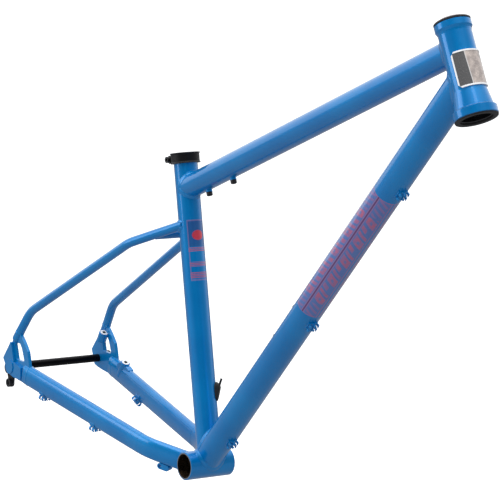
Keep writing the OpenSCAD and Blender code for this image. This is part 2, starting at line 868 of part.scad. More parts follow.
// Seat collar: a split ring with two lips and a pair of lugs behind the seat tube
module seat_collar() {
    z0 = seat_len - collar_below;
    lip_r = collar_r + collar_lip;
    color(black) on_seat_axis() difference() {
        union() {
            translate([0, 0, z0]) rotate_extrude() polygon([
                [collar_bore_r, 0], [lip_r, 0], [lip_r, 1.2], [collar_r, 2.4],
                [collar_r, collar_h - 2.4], [lip_r, collar_h - 1.2], [lip_r, collar_h],
                [seatpost_bore / 2 + 0.4, collar_h], [seatpost_bore / 2 + 0.4, collar_below + 0.1],
                [collar_bore_r, collar_below + 0.1]
            ]);
            translate([lug_x, 0, collar_mid]) difference() {
                translate([3.5, 0, 0]) cube([13, 2 * lug_half, 11.5], center = true);
                rotate([90, 0, 0]) cylinder(r = collar_bolt_r + run_gap, h = 40, center = true);
            }
        }
        translate([0, 0, z0 - 1]) cylinder(r = collar_bore_r, h = collar_below + 1.1);
        translate([-50, -slit_w / 2, z0 - 1]) cube([50, slit_w, collar_h + 2]);
        translate([lug_x, barrel_at, collar_mid]) cylinder(r = barrel_r + run_gap, h = 40, center = true);
        translate([lug_x, 0, collar_mid]) rotate([90, 0, 0])
            cylinder(r = collar_bolt_r + run_gap, h = 40, center = true);
    }
}

// Socket head bolt, its head on the right side
module seat_collar_bolt() {
    color(black) on_seat_axis() translate([lug_x, -lug_half, collar_mid]) rotate([-90, 0, 0]) difference() {
        union() {
            translate([0, 0, -1]) cylinder(r = collar_bolt_r, h = 2 * lug_half + 1);
            translate([0, 0, -collar_head_h]) cylinder(r = collar_head_r, h = collar_head_h - run_gap);
            translate([0, 0, -1.2]) cylinder(r = collar_head_r + 0.9, h = 1.2 - run_gap);
        }
        translate([0, 0, -collar_head_h - 1]) cylinder(r = 2.31, h = 4.5, $fn = 6);
    }
}

// Cross barrel nut in the left lug
module seat_collar_barrel_nut() {
    color(steel) on_seat_axis() translate([lug_x, barrel_at, collar_mid]) difference() {
        cylinder(r = barrel_r, h = 11, center = true);
        rotate([90, 0, 0]) cylinder(r = collar_bolt_r + run_gap, h = 20, center = true);
    }
}

// Part of a round sleeve that faces forward
module badge_sector(r_in, r_out, low, high, half_angle) {
    rotate([0, 0, -half_angle]) translate([0, 0, low])
        rotate_extrude(angle = 2 * half_angle) translate([r_in, 0]) square([r_out - r_in, high - low]);
}

// Badge: a curved plate on the front of the head tube with a raised rim and cut corners
module head_badge() {
    r = head_r + weld_gap;
    color(silver) on_head_axis() difference() {
        badge_sector(r, r + badge_t + badge_rim, badge_low, badge_high, badge_half_angle);
        badge_sector(r + badge_t, r + badge_t + 2, badge_low + 2, badge_high - 2, badge_half_angle - 5);
        for (s = [-1, 1], z = [badge_low, badge_high])
            rotate([0, 0, s * badge_half_angle]) translate([0, 0, z]) rotate([45, 0, 0])
                cube([80, 6.4, 6.4], center = true);
    }
}

module bottle_bosses() {
    color(paint) for (i = [0, 1])
        on_down_axis() translate([0, 0, down_boss_from + i * boss_spacing]) rotate([0, 0, 180])
            boss_on(down_r, bottle_boss_h);
}

// Threaded boss set into a tube's wall. The tube runs along local Z and the boss stands along +X.
module boss_on(r_tube, h) {
    difference() {
        union() {
            translate([r_tube - 3, 0, 0]) rotate([0, 90, 0]) cylinder(r = boss_shank_r, h = 3 + h / 2);
            difference() {
                translate([r_tube - 3, 0, 0]) rotate([0, 90, 0]) cylinder(r = boss_r, h = h + 3);
                cylinder(r = r_tube + weld_gap, h = 30, center = true);
            }
        }
        translate([r_tube - 4, 0, 0]) rotate([0, 90, 0]) cylinder(r = m5_minor_r, h = 12);
    }
}

module top_tube_bosses() {
    color(paint) for (i = [0, 1])
        on_top_axis() translate([0, 0, top_boss_from + i * boss_spacing]) boss_on(top_r, boss_h);
}

// Button head bolt, drawn along +X, with its head's underside at the given distance
module boss_bolt(seat, head_h) {
    translate([seat + weld_gap, 0, 0]) rotate([0, 90, 0]) difference() {
        union() {
            translate([0, 0, -6]) cylinder(r = m5_minor_r - weld_gap, h = 6.5);
            rotate_extrude() polygon([
                [0, 0], [bolt_head_r, 0], [bolt_head_r, head_h - 1.2], [bolt_head_r - 1, head_h],
                [0, head_h]
            ]);
        }
        translate([0, 0, head_h - 2.2]) cylinder(r = bolt_socket / 2 / cos(30), h = 4, $fn = 6);
    }
}

module top_tube_boss_bolts() {
    color(black) for (i = [0, 1])
        on_top_axis() translate([0, 0, top_boss_from + i * boss_spacing]) boss_bolt(top_r + boss_h, 5.2);
}

module bottle_boss_bolts() {
    color(black) for (i = [0, 1])
        on_down_axis() translate([0, 0, down_boss_from + i * boss_spacing]) rotate([0, 0, 180])
            boss_bolt(down_r + bottle_boss_h, 2.8);
}

// Hose guide: a saddle with two open channels side by side and a groove across them for a tie.
// Drawn for a tube along local Z; the guide sits on the local +X side.

module hose_guide(r_tube) {
    r0 = r_tube + weld_gap;
    channel_x = r0 + 1.2 + channel_r;
    half_w = channel_at + channel_r + channel_wall;
    difference() {
        for (s = [-1, 1])
            translate([channel_x, s * channel_at, 0]) difference() {
                cylinder(r = channel_r + channel_wall, h = guide_len);
                translate([0, 0, -1]) cylinder(r = channel_r, h = guide_len + 2);
                translate([0, -channel_mouth / 2, -1]) cube([20, channel_mouth, guide_len + 2]);
            }
        cylinder(r = r0 + 0.3, h = 60, center = true);
        translate([0, -30, (guide_len - guide_groove) / 2]) cube([60, 60, guide_groove]);
    }
    difference() {
        intersection() {
            ring(r0 + 1.6, r0, guide_len);
            translate([0, -half_w, 0]) cube([60, 2 * half_w, guide_len]);
        }
        for (s = [-1, 1])
            translate([channel_x, s * channel_at, -1]) cylinder(r = channel_r, h = guide_len + 2);
    }
}

module down_tube_hose_guides() {
    color(paint) for (s = guide_places)
        on_down_axis() translate([0, 0, s]) hose_guide(down_r);
}

// The same guide on the rounded underside of a chainstay, turned about the stay
module chain_guide(forward, turn) {
    u = unit(chain_bend - chain_rear);
    on_chain_plane() translate(chain_rear + forward * u) rotate([0, 0, atan2(u.y, u.x)])
        translate([0, 0, -chain_end_at]) rotate([turn, 0, 0]) rotate([0, 90, 0])
            hose_guide(chain_end_r);
}

module chainstay_hose_guides() {
    color(paint) {
        difference() {
            chain_guide(95, -50);
            chain_clear();
        }
        for (forward = [37, 166])
            mirror([0, 1, 0]) difference() {
                chain_guide(forward, 0);
                chain_clear();
            }
    }
}

// Eyelet plate under the right chainstay, just behind the shell
module shell_hose_guide() {
    v = unit(chain_front - chain_bend);
    at = chain_bend + eyelet_at * v;
    color(paint) mirror([0, 1, 0]) difference() {
        on_chain_plane() translate(at) rotate([0, 0, atan2(v.y, v.x)])
            translate([0, 0, -chainstay_h / 2]) difference() {
                translate([0, 5, -eyelet_drop]) rotate([90, 0, 0]) linear_extrude(10)
                    slot_2d(eyelet_len, eyelet_w, 0);
                translate([(eyelet_w - eyelet_len) / 2, 0, -eyelet_drop]) rotate([90, 0, 0])
                    cylinder(r = eyelet_hole_r, h = 30, center = true);
            }
        on_chain_plane() translate(chain_bend - 5 * v) rotate([0, 0, atan2(v.y, v.x)]) rotate([90, 0, 90])
            linear_extrude(120) chain_section(weld_gap);
        shell_blank(weld_gap);
    }
}

// Rubber grommet that closes the seat tube's cable port. It is widest near its upper end, where
// the cable comes out, and tapers to a point below.
module cable_port_grommet() {
    color(black) difference() {
        union() {
            port_slot(-0.1, seat_r - 2.5, seat_r + 1);
            difference() {
                intersection() {
                    port_slot(1.4, seat_r - 4, seat_r + 9);
                    on_port() translate([0, 10, 0]) rotate([90, 0, 0]) linear_extrude(20)
                        polygon([
                            [seat_r - 4, -14], [seat_r + 0.9, -14], [seat_r + 6.4, 5],
                            [seat_r + 5.2, 10], [seat_r + 1.2, 14], [seat_r - 4, 14]
                        ]);
                }
                on_seat_axis() cylinder(r = seat_r + weld_gap, h = 140);
            }
        }
        cable_hole(cable_r + run_gap);
    }
}

module on_port() {
    on_seat_axis() rotate([0, 0, port_turn]) translate([0, 0, port_at]) children();
}

module cable_hole(r) {
    on_port() translate([seat_r + 1.8, 0, 0]) rotate([0, cable_lean, 0]) cylinder(r = r, h = 30);
}

// Cut end of the control cable's housing that stands out of the grommet
module cable_stub() {
    color(black) on_port() translate([seat_r + 1.8, 0, 0]) rotate([0, cable_lean, 0]) translate([0, 0, 0.1])
        cylinder(r = cable_r, h = 19);
}

head_tube();
top_tube();
down_tube();
seat_tube();
bottom_bracket_shell();
seatstay_right();
seatstay_left();
seatstay_bridge();
chainstay_right();
chainstay_left();
dropout_right();
dropout_left();
derailleur_hanger();
hanger_bolt();
brake_post_upper();
brake_post_lower();
brake_post_gusset();
thru_axle();
thru_axle_washer();
upper_bearing_outer_ring();
upper_bearing_inner_ring();
upper_bearing_balls();
upper_headset_cover();
compression_ring();
lower_bearing_outer_ring();
lower_bearing_inner_ring();
lower_bearing_balls();
lower_bearing_seal();
seat_collar();
seat_collar_bolt();
seat_collar_barrel_nut();
head_badge();
bottle_bosses();
bottle_boss_bolts();
top_tube_bosses();
top_tube_boss_bolts();
down_tube_hose_guides();
chainstay_hose_guides();
shell_hose_guide();
cable_port_grommet();
cable_stub();
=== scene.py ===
"""Looks of the steel bicycle frame: paint, decals, weld beads, threads, light, floor and camera."""

import json
import math

import bmesh
import bpy
from mathutils import Matrix, Vector


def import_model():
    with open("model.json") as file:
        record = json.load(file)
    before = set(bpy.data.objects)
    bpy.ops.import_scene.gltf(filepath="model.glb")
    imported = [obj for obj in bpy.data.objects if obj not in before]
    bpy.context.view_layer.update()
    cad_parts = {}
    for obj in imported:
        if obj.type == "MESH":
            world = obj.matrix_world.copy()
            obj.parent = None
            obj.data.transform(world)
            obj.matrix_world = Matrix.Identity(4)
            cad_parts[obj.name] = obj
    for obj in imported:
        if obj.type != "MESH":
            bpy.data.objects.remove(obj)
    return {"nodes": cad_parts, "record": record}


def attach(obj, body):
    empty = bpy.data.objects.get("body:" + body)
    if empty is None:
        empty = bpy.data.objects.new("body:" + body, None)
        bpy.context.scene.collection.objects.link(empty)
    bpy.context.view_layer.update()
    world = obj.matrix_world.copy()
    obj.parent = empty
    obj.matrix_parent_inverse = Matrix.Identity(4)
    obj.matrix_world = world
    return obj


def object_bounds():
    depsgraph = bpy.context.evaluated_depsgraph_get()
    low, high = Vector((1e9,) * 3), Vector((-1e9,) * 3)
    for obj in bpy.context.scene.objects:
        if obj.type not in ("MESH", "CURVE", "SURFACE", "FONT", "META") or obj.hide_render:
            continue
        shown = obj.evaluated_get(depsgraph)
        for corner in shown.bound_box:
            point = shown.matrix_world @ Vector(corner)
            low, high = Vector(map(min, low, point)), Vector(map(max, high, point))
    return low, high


# Lengths below are in mm, and MM turns them into metres.
MM = 0.001

# ---------------------------------------------------------------- frame geometry, as in the CAD
REACH = 509.5
STACK = 666.0
HEAD_ANGLE = math.radians(63.0)
SEAT_ANGLE = math.radians(78.0)
HEAD_LEN = 123.0
HEAD_R = 21.2
HEAD_FLARE = ((0.0, 28.0), (11.0, 28.0), (11.01, 26.4), (12.0, 24.9), (35.0, HEAD_R), (HEAD_LEN, HEAD_R))
SEAT_OFFSET = 11.3
SEAT_LEN = 441.0
SEAT_R = 17.0
SEAT_BORE_R = 15.5
TOP_R = 16.8
TOP_FROM = 392.3
DOWN_R = 19.7
DOWN_START = Vector((0.0, 0.0, 3.8))
DOWN_MEETS_HEAD = 52.5
TOP_BELOW_HEAD_TOP = 33.5
SHELL_R = 20.1
SHELL_HALF = 36.5
SHELL_BORE_R = 16.85
AXLE = Vector((-math.sqrt(428.8**2 - 65.2**2), 0.0, 65.2))
STAY_R = 6.75
STAY_PATH = (
    AXLE + Vector((18.5, 76.5, 55.7)),
    Vector((-381, 72.2, 157.2)),
    Vector((-142.4, 50.4, 297.1)),
    Vector((-60, 12.2, 333.5)),
)
BRIDGE_R = 6.0
CHAIN_PITCH = math.atan(0.17)
CHAIN_DROP = -4.7
CHAIN_REAR = (-380.0, 75.0)
CHAIN_BEND = (-86.0, 45.0)
CHAIN_FRONT = (-6.0, 9.4)
CHAIN_H = 31.0
CHAIN_W = 17.0
CHAIN_END_R = 0.435 * CHAIN_W
CHAIN_END_AT = CHAIN_H / 2 - CHAIN_END_R
CHAIN_SIDE_R = 37.0
CHAIN_SIDE_H = 1.3 * CHAIN_END_AT
POST_ANGLE = math.radians(27.5)
POST_UPPER = AXLE + Vector((22.8, 69.6, 44.8))
POST_LOWER = POST_UPPER + 74.2 * Vector((math.cos(POST_ANGLE), 0, -math.sin(POST_ANGLE)))
POST_WAY = Vector((math.sin(POST_ANGLE), 0, math.cos(POST_ANGLE)))

HEAD_UP = Vector((-math.cos(HEAD_ANGLE), 0, math.sin(HEAD_ANGLE)))
HEAD_BOTTOM = Vector((REACH, 0, STACK)) - HEAD_LEN * HEAD_UP
SEAT_UP = Vector((-math.cos(SEAT_ANGLE), 0, math.sin(SEAT_ANGLE)))
SEAT_FOOT = Vector((SEAT_OFFSET, 0, 0))
LEFT = Vector((0, 1, 0))


class Tube:
    """A straight round tube: where its axis starts, which way it runs and its outside radius."""

    def __init__(self, start, end, radius):
        self.start = Vector(start)
        self.way = (Vector(end) - self.start).normalized()
        self.length = (Vector(end) - self.start).length
        self.radius = radius

    def at(self, s):
        return self.start + s * self.way

    def gap(self, p):
        w = p - self.start
        return (w - w.dot(self.way) * self.way).length - self.radius


class Flared(Tube):
    """A tube whose radius follows a table of (distance along the axis, radius)."""

    def __init__(self, start, end, table):
        super().__init__(start, end, table[-1][1])
        self.table = table

    def gap(self, p):
        w = p - self.start
        s = w.dot(self.way)
        r = self.radius
        for (s0, r0), (s1, r1) in zip(self.table, self.table[1:]):
            if s0 <= s <= s1:
                r = r0 + (r1 - r0) * (s - s0) / (s1 - s0)
        return (w - s * self.way).length - r


class Joined:
    """Several shapes welded before the next tube meets them."""

    def __init__(self, *shapes):
        self.shapes = shapes

    def gap(self, p):
        return min(shape.gap(p) for shape in self.shapes)


head = Flared(HEAD_BOTTOM, HEAD_BOTTOM + HEAD_LEN * HEAD_UP, HEAD_FLARE)
seat = Tube(SEAT_FOOT, SEAT_FOOT + SEAT_LEN * SEAT_UP, SEAT_R)
top = Tube(seat.at(TOP_FROM), head.at(HEAD_LEN - TOP_BELOW_HEAD_TOP), TOP_R)
down = Tube(DOWN_START, head.at(DOWN_MEETS_HEAD), DOWN_R)
shell = Tube((0, -SHELL_HALF, 0), (0, SHELL_HALF, 0), SHELL_R)

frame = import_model()
cad_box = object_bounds()
nodes = frame["nodes"]


# ---------------------------------------------------------------- numbers at each point of a surface
class Field:
    """A number at each point of a surface, made by shader nodes but written as ordinary arithmetic."""

    def __init__(self, tree, socket):
        self.tree = tree
        self.socket = socket

    def math(self, operation, *others):
        node = self.tree.nodes.new("ShaderNodeMath")
        node.operation = operation
        for place, value in enumerate((self,) + others):
            if isinstance(value, Field):
                self.tree.links.new(value.socket, node.inputs[place])
            else:
                node.inputs[place].default_value = value
        return Field(self.tree, node.outputs[0])

    def __add__(self, other):
        return self.math("ADD", other)

    def __sub__(self, other):
        return self.math("SUBTRACT", other)

    def __mul__(self, other):
        return self.math("MULTIPLY", other)

    def __truediv__(self, other):
        return self.math("DIVIDE", other)

    def __abs__(self):
        return self.math("ABSOLUTE")

    __radd__ = __add__
    __rmul__ = __mul__

    def either(self, other):
        return self.math("MAXIMUM", other)

    def sine(self):
        return self.math("SINE")

    def above(self, edge, soft):
        """0 below the edge and 1 above it, with a soft step."""
        node = self.tree.nodes.new("ShaderNodeMapRange")
        node.interpolation_type = "SMOOTHSTEP"
        self.tree.links.new(self.socket, node.inputs["Value"])
        node.inputs["From Min"].default_value = edge - soft
        node.inputs["From Max"].default_value = edge + soft
        return Field(self.tree, node.outputs["Result"])

    def below(self, edge, soft):
        return self.above(edge, soft) * -1.0 + 1.0

    def within(self, low, high, soft):
        return self.above(low, soft) * self.below(high, soft)

    def repeat(self, period):
        """Distance into each repeat, from 0 to the period."""
        return self.math("FLOORED_MODULO", period)


def place(tree):
    """Where the point is in the object, in mm, as three fields."""
    where = tree.nodes.new("ShaderNodeTexCoord").outputs["Object"]
    split = tree.nodes.new("ShaderNodeSeparateXYZ")
    tree.links.new(where, split.inputs[0])
    return [Field(tree, split.outputs[i]) * (1 / MM) for i in range(3)]


def dot(xyz, v):
    return xyz[0] * v[0] + xyz[1] * v[1] + xyz[2] * v[2]


def round_axis(tree, start, way, zero):
    """Distance along an axis, angle about it from the direction `zero`, and distance from it.

    Distances are in mm and the angle is in radians.
    """
    way = Vector(way).normalized()
    zero = Vector(zero)
    across = (zero - zero.dot(way) * way).normalized()
    side = way.cross(across)
    xyz = [axis - offset for axis, offset in zip(place(tree), start)]
    u, v = dot(xyz, across), dot(xyz, side)
    return dot(xyz, way), v.math("ARCTAN2", u), (u * u + v * v).math("SQRT")


def noise(tree, scale, detail=2.0):
    """A noise field from 0 to 1. The scale is in repeats a metre."""
    where = tree.nodes.new("ShaderNodeTexCoord").outputs["Object"]
    texture = tree.nodes.new("ShaderNodeTexNoise")
    texture.inputs["Scale"].default_value = scale
    texture.inputs["Detail"].default_value = detail
    tree.links.new(where, texture.inputs["Vector"])
    return Field(tree, texture.outputs[0])


def mix(tree, share, first, second):
    """A colour between two colours. Each is a tuple or a node output."""
    node = tree.nodes.new("ShaderNodeMix")
    node.data_type = "RGBA"
    tree.links.new(share.socket, node.inputs["Factor"])
    for socket, value in ((node.inputs[6], first), (node.inputs[7], second)):
        if isinstance(value, tuple):
            socket.default_value = (*value, 1.0)
        else:
            tree.links.new(value, socket)
    return node.outputs[2]


def linear(r, g, b):
    """A colour given as screen values from 0 to 255, in the renderer's linear values."""
    return tuple((c / 255 / 12.92) if c <= 10 else ((c / 255 + 0.055) / 1.055) ** 2.4 for c in (r, g, b))


# ---------------------------------------------------------------- materials
def new_material(name):
    material = bpy.data.materials.new(name)
    material.use_nodes = True
    tree = material.node_tree
    return material, tree, tree.nodes["Principled BSDF"]


def set_input(tree, shader, name, value):
    if isinstance(value, Field):
        tree.links.new(value.socket, shader.inputs[name])
    elif isinstance(value, bpy.types.NodeSocket):
        tree.links.new(value, shader.inputs[name])
    elif isinstance(value, tuple):
        shader.inputs[name].default_value = (*value, 1.0)
    else:
        shader.inputs[name].default_value = value


def bump(tree, height, depth, soften=0.0):
    """A normal from a height field. Depth is in mm. Soften rounds sharp edges by that radius in mm."""
    node = tree.nodes.new("ShaderNodeBump")
    node.inputs["Strength"].default_value = 1.0
    node.inputs["Distance"].default_value = depth * MM
    tree.links.new(height.socket, node.inputs["Height"])
    if soften:
        edge = tree.nodes.new("ShaderNodeBevel")
        edge.samples = 4
        edge.inputs["Radius"].default_value = soften * MM
        tree.links.new(edge.outputs[0], node.inputs["Normal"])
    return node.outputs[0]


PAINT = linear(0, 134, 206)
PAINT_DEEP = linear(0, 123, 196)
DECAL_PINK = linear(214, 96, 112)
DECAL_RED = linear(226, 62, 72)
DECAL_LINE = linear(150, 132, 190)
DECAL_DARK = linear(64, 40, 110)
DECAL_WINE = linear(110, 22, 70)


def paint(name, overlay=None):
    """Gloss blue paint. An overlay changes it where there is a decal or bare metal."""
    material, tree, shader = new_material(name)
    colour = mix(tree, noise(tree, 14, 3).above(0.5, 0.2), PAINT, PAINT_DEEP)
    flake = noise(tree, 5200, 0)
    colour = mix(tree, flake.above(0.66, 0.1) * 0.12, colour, linear(30, 150, 215))
    set_input(tree, shader, "Metallic", 0.35)
    set_input(tree, shader, "Specular IOR Level", 0.1)
    set_input(tree, shader, "Roughness", noise(tree, 60, 3) * 0.08 + 0.30)
    set_input(tree, shader, "Coat Weight", 1.0)
    set_input(tree, shader, "Coat Roughness", noise(tree, 35, 4) * 0.05 + 0.03)
    peel = noise(tree, 420, 2) + noise(tree, 900, 1) * 0.4
    normal = bump(tree, peel, 0.012, 0.35)
    tree.links.new(normal, shader.inputs["Coat Normal"])
    tree.links.new(normal, shader.inputs["Normal"])
    if overlay:
        colour = overlay(tree, shader, colour)
    set_input(tree, shader, "Base Color", colour)
    return material


def bare_metal(tree, shader, colour, where, metal, roughness):
    """Scraped back to metal where the field is 1."""
    set_input(tree, shader, "Metallic", where * 0.65 + 0.35)
    set_input(tree, shader, "Roughness", where * (roughness - 0.3) + 0.3)
    set_input(tree, shader, "Coat Weight", where * -1.0 + 1.0)
    return mix(tree, where, colour, metal)


def shell_overlay(tree, shader, colour):
    """The shell's faces are bare metal round the bore, and the bore is painted a mottled dark brown, far
    darker than that metal: painted shade inside the bore.
    """
    x, y, z = place(tree)
    radius = (x * x + z * z).math("SQRT")
    bore = radius.below(SHELL_BORE_R + 0.25, 0.05)
    face = abs(y).above(SHELL_HALF - 0.15, 0.05) * radius.below(SHELL_BORE_R + 1.5, 0.1)
    rings = (radius * 9.0).sine() * 0.06
    colour = bare_metal(tree, shader, colour, bore.either(face), linear(150, 152, 156), 0.32)
    tree.links.new((rings + 0.34).socket, shader.inputs["Roughness"])
    # Painted shade inside the bore: two dark browns, mottled by noise.
    bore_shade_mottle = noise(tree, 300, 4).above(0.45, 0.2)
    return mix(tree, bore, colour, mix(tree, bore_shade_mottle, linear(74, 58, 42), linear(38, 31, 26)))


def head_overlay(tree, shader, colour):
    """The head tube is bare steel inside, painted dark grey there as painted shade inside the tube."""
    along, _, radius = round_axis(tree, HEAD_BOTTOM, HEAD_UP, (1, 0, 0))
    cone = (radius + along * 0.13).below(25.1, 0.05) * along.above(11.3, 0.1)
    seats = radius.below(26.8, 0.05) * along.below(11.3, 0.1)
    ends = along.below(0.05, 0.03).either(along.above(HEAD_LEN - 0.05, 0.03))
    # Painted shade: the inside, the cup seats and the faced ends are painted dark grey.
    shaded_inside = cone.either(seats).either(ends) * radius.below(HEAD_R - 0.3, 0.05).either(along.below(34, 0.5))
    return bare_metal(tree, shader, colour, shaded_inside, linear(52, 52, 54), 0.5)


def seat_overlay(tree, shader, colour):
    """Reamed bore, and the decal: a thin box with a round mark and bands, facing forward."""
    along, angle, radius = round_axis(tree, SEAT_FOOT, SEAT_UP, (1, 0, 0))
    outside = radius.above(SEAT_R - 0.3, 0.1)
    across = angle * SEAT_R
    half = 15.5
    low, high = 261.0, 347.0
    panel = along.within(low, high, 0.3) * abs(across).below(half, 0.3) * outside
    inner = along.within(low + 2.0, high - 2.0, 0.3) * abs(across).below(half - 1.6, 0.3)
    line = panel * (inner * -1.0 + 1.0)
    tint = panel * along.within(low + 8, high, 0.5)
    mark_u, mark_v = across / 9.0, (along - 325.0) / 7.0
    mark = (mark_u * mark_u + mark_v * mark_v).math("SQRT").below(1.0, 0.08)
    bands = along.within(302, 308, 0.4)
    bands = bands.either(along.within(281, 287.5, 0.4)).either(along.within(264, 273, 0.4))
    stripes = (along.repeat(2.2)).above(1.0, 0.15)
    colour = mix(tree, tint * along.within(309, high, 0.5) * 0.45, colour, DECAL_DARK)
    colour = mix(tree, line * 0.6, colour, DECAL_LINE)
    colour = mix(tree, bands * stripes * panel * 0.75, colour, DECAL_PINK)
    colour = mix(tree, mark * panel * 0.9, colour, DECAL_RED)
    bore = radius.below(SEAT_BORE_R + 0.6, 0.1)
    return mix(tree, bore, colour, linear(60, 60, 62))


def down_overlay(tree, shader, colour):
    """Long decal on each side: two mirrored rows of slanted bars about a dark middle line."""
    along, angle, _ = round_axis(tree, DOWN_START, down.way, Vector((1, 0, -1)))
    around = abs(angle) * DOWN_R
    low, high = 357.0, 591.0
    middle = 23.7
    from_middle = abs(around - middle)
    panel = along.within(low, high, 0.4) * from_middle.below(23.0, 0.3)
    slanted = along + from_middle * 0.6
    row = from_middle.within(3.6, 18.5, 0.6)
    cell = slanted.repeat(39.0)
    wide = cell.within(2, 15, 0.8) * (from_middle.within(9, 13, 0.6) * cell.within(6, 11, 0.8) * -0.8 + 1.0)
    short = cell.within(28, 35, 0.8) * from_middle.below(12, 0.8)
    bars = wide.either(cell.within(19, 24, 0.8)).either(short)
    bars = bars * row * along.within(384, 556, 0.8)
    ends = (along.within(low, 381, 0.4) + along.within(559, high, 0.4)) * row
    blocks = ends * slanted.repeat(9.0).above(5.0, 0.5)
    hair = from_middle.within(20.6, 21.8, 0.3).either(from_middle.within(1.3, 2.3, 0.3))
    hair = hair.either(along.within(low, low + 1.2, 0.2)).either(along.within(high - 1.2, high, 0.2))
    rub = noise(tree, 150, 4).above(0.5, 0.22) * 0.5 + 0.4
    colour = mix(tree, panel * 0.16, colour, DECAL_PINK)
    colour = mix(tree, panel * blocks * 0.25, colour, DECAL_PINK)
    colour = mix(tree, panel * bars * rub * 0.8, colour, DECAL_PINK)
    colour = mix(tree, panel * hair * 0.4, colour, DECAL_PINK)
    return mix(tree, panel * from_middle.below(0.9, 0.2) * 0.8, colour, DECAL_WINE)


def post_look(name, at):
    """A painted post whose end face is machined bright, with a threaded hole painted dark grey as painted
    shade, banded with painted light and shade for its thread.
    """

    def overlay(tree, shader, colour):
        along, _, radius = round_axis(tree, at, POST_WAY, LEFT)
        face = along.above(-0.15, 0.05)
        bore = radius.below(2.75, 0.05)
        colour = bare_metal(tree, shader, colour, face.either(bore), linear(238, 240, 243), 0.5)
        set_input(tree, shader, "Metallic", bore.either(face) * -0.25 + 0.35)
        # Painted shade in the hole: bands of lighter and darker grey stand in for the light and shade on the
        # thread's crests and roots.
        thread_shade_bands = (along * (2 * math.pi)).sine().above(0.0, 0.5) * 0.5
        return mix(tree, bore, colour, mix(tree, thread_shade_bands, linear(96, 96, 100), linear(50, 50, 52)))

    return paint(name, overlay)


def metal(name, colour, roughness, axis=None, grain=0.03, dark=None, metallic=1.0):
    """Machined metal. An axis (start, way) gives it the fine rings that a lathe leaves."""
    material, tree, shader = new_material(name)
    speckle = noise(tree, 260, 4)
    base = mix(tree, speckle.above(0.55, 0.2) * 0.5, colour, dark or tuple(c * 0.75 for c in colour))
    height = noise(tree, 1400, 3)
    if axis:
        along, _, radius = round_axis(tree, axis[0], axis[1], (0.3, 0.5, 0.8))
        height = height * 0.4 + ((radius + along) * 14.0).sine() * 0.5
    set_input(tree, shader, "Base Color", base)
    set_input(tree, shader, "Metallic", metallic)
    set_input(tree, shader, "Roughness", speckle * 0.12 + roughness)
    tree.links.new(bump(tree, height, grain, 0.3), shader.inputs["Normal"])
    return material


def anodised(name, colour, roughness=0.38):
    """Black anodised alloy: a satin film over blasted metal, a little lighter along worn edges."""
    material, tree, shader = new_material(name)
    geometry = tree.nodes.new("ShaderNodeNewGeometry")
    edge = Field(tree, geometry.outputs["Pointiness"]).above(0.56, 0.03)
    grain = noise(tree, 1900, 3)
    base = mix(tree, edge * noise(tree, 240, 3) * 0.5, colour, linear(120, 120, 124))
    set_input(tree, shader, "Base Color", base)
    set_input(tree, shader, "Metallic", 0.55)
    set_input(tree, shader, "Roughness", grain * 0.14 + roughness)
    tree.links.new(bump(tree, grain, 0.015, 0.3), shader.inputs["Normal"])
    return material


def rubber(name):
    material, tree, shader = new_material(name)
    grain = noise(tree, 1300, 4)
    colour = mix(tree, noise(tree, 120, 3), linear(22, 22, 24), linear(38, 38, 40))
    set_input(tree, shader, "Base Color", colour)
    set_input(tree, shader, "Roughness", grain * 0.2 + 0.55)
    tree.links.new(bump(tree, grain, 0.05, 0.3), shader.inputs["Normal"])
    return material


def badge_material():
    """Badge plate: a raised rim painted near white, a painted reflection in place of its chrome, round a
    two-tone panel, black to the right and warm grey ahead, split by a light grey bar that is a painted
    reflection of a chrome divider.
    """
    material, tree, shader = new_material("badge_plate")
    along, angle, radius = round_axis(tree, HEAD_BOTTOM, HEAD_UP, (1, 0, 0))
    floor_of_plate = radius.below(HEAD_R + 1.45, 0.06)
    panel = floor_of_plate * along.within(37.1, 79.9, 0.2) * abs(angle).below(math.radians(66.4), 0.01)
    slope = angle + (along - 58.5) * 0.002
    black = slope.below(math.radians(-24), 0.01)
    divider_reflection = slope.within(math.radians(-25.5), math.radians(-23), 0.005)
    cloud = noise(tree, 130, 3).above(0.5, 0.25)
    warm = mix(tree, cloud, linear(206, 190, 180), linear(150, 136, 130))
    colour = mix(tree, black, warm, linear(14, 10, 13))
    # Painted reflection: the chrome divider is painted light grey.
    colour = mix(tree, divider_reflection, colour, linear(215, 212, 210))
    # Painted reflection: the chrome rim is painted near white, almost without metal.
    set_input(tree, shader, "Base Color", mix(tree, panel, linear(252, 252, 253), colour))
    set_input(tree, shader, "Metallic", panel * 0.05 + 0.05)
    set_input(tree, shader, "Roughness", panel * 0.05 + noise(tree, 500, 3) * 0.05 + 0.2)
    height = noise(tree, 900, 2)
    tree.links.new(bump(tree, height, 0.006, 0.25), shader.inputs["Normal"])
    return material


